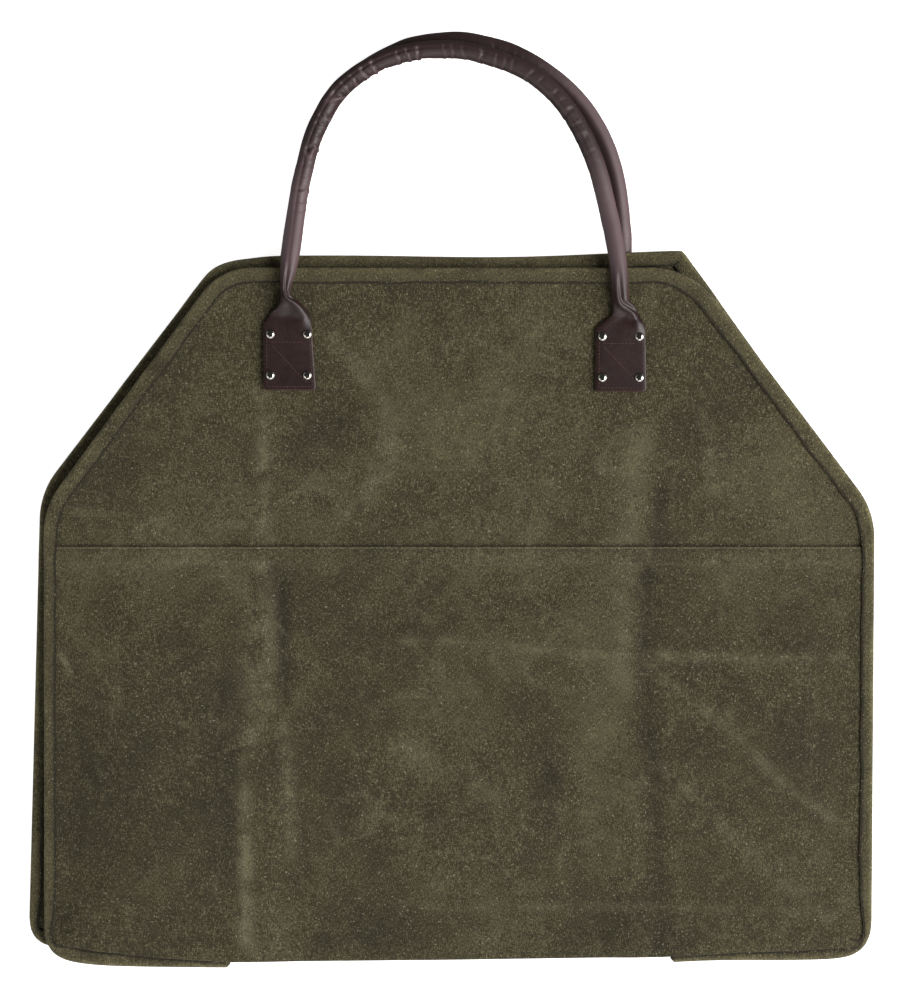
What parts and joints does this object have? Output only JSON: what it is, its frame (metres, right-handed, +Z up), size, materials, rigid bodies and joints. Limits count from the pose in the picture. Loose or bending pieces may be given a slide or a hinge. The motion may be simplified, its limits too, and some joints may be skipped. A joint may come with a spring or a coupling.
{
  "type": "log carrier",
  "caption": "Waxed canvas log carrier with gusset ends, bound edges and riveted rolled leather handles, folded flat on its back; opened, it holds firewood.",
  "frame": {"origin": "on the ground under the middle of the whole carrier, handles included", "axes": "+Z up from the ground through the front face, +Y towards the handles, +X to the right"},
  "size_m": [0.5588, 0.6185, 0.0283],
  "materials": {
    "waxed_canvas": "waxed, dull",
    "binding_tape": "ribbed tape, dull",
    "leather": "oiled, satin",
    "nickel": "polished"
  },
  "bodies": {
    "root": {"front_upper_panel": "waxed_canvas", "back_upper_panel": "waxed_canvas", "lower_wrap": "waxed_canvas", "left_end_gusset": "waxed_canvas", "right_end_gusset": "waxed_canvas", "front_binding": "binding_tape", "back_binding": "binding_tape", "left_base_binding": "binding_tape", "right_base_binding": "binding_tape", "front_handle": "leather", "back_handle": "leather", "front_rivet_1": "nickel", "front_rivet_2": "nickel", "front_rivet_3": "nickel", "front_rivet_4": "nickel", "front_rivet_5": "nickel", "front_rivet_6": "nickel", "front_rivet_7": "nickel", "front_rivet_8": "nickel", "back_rivet_1": "nickel", "back_rivet_2": "nickel", "back_rivet_3": "nickel", "back_rivet_4": "nickel", "back_rivet_5": "nickel", "back_rivet_6": "nickel", "back_rivet_7": "nickel", "back_rivet_8": "nickel"}
  },
  "joints": []
}
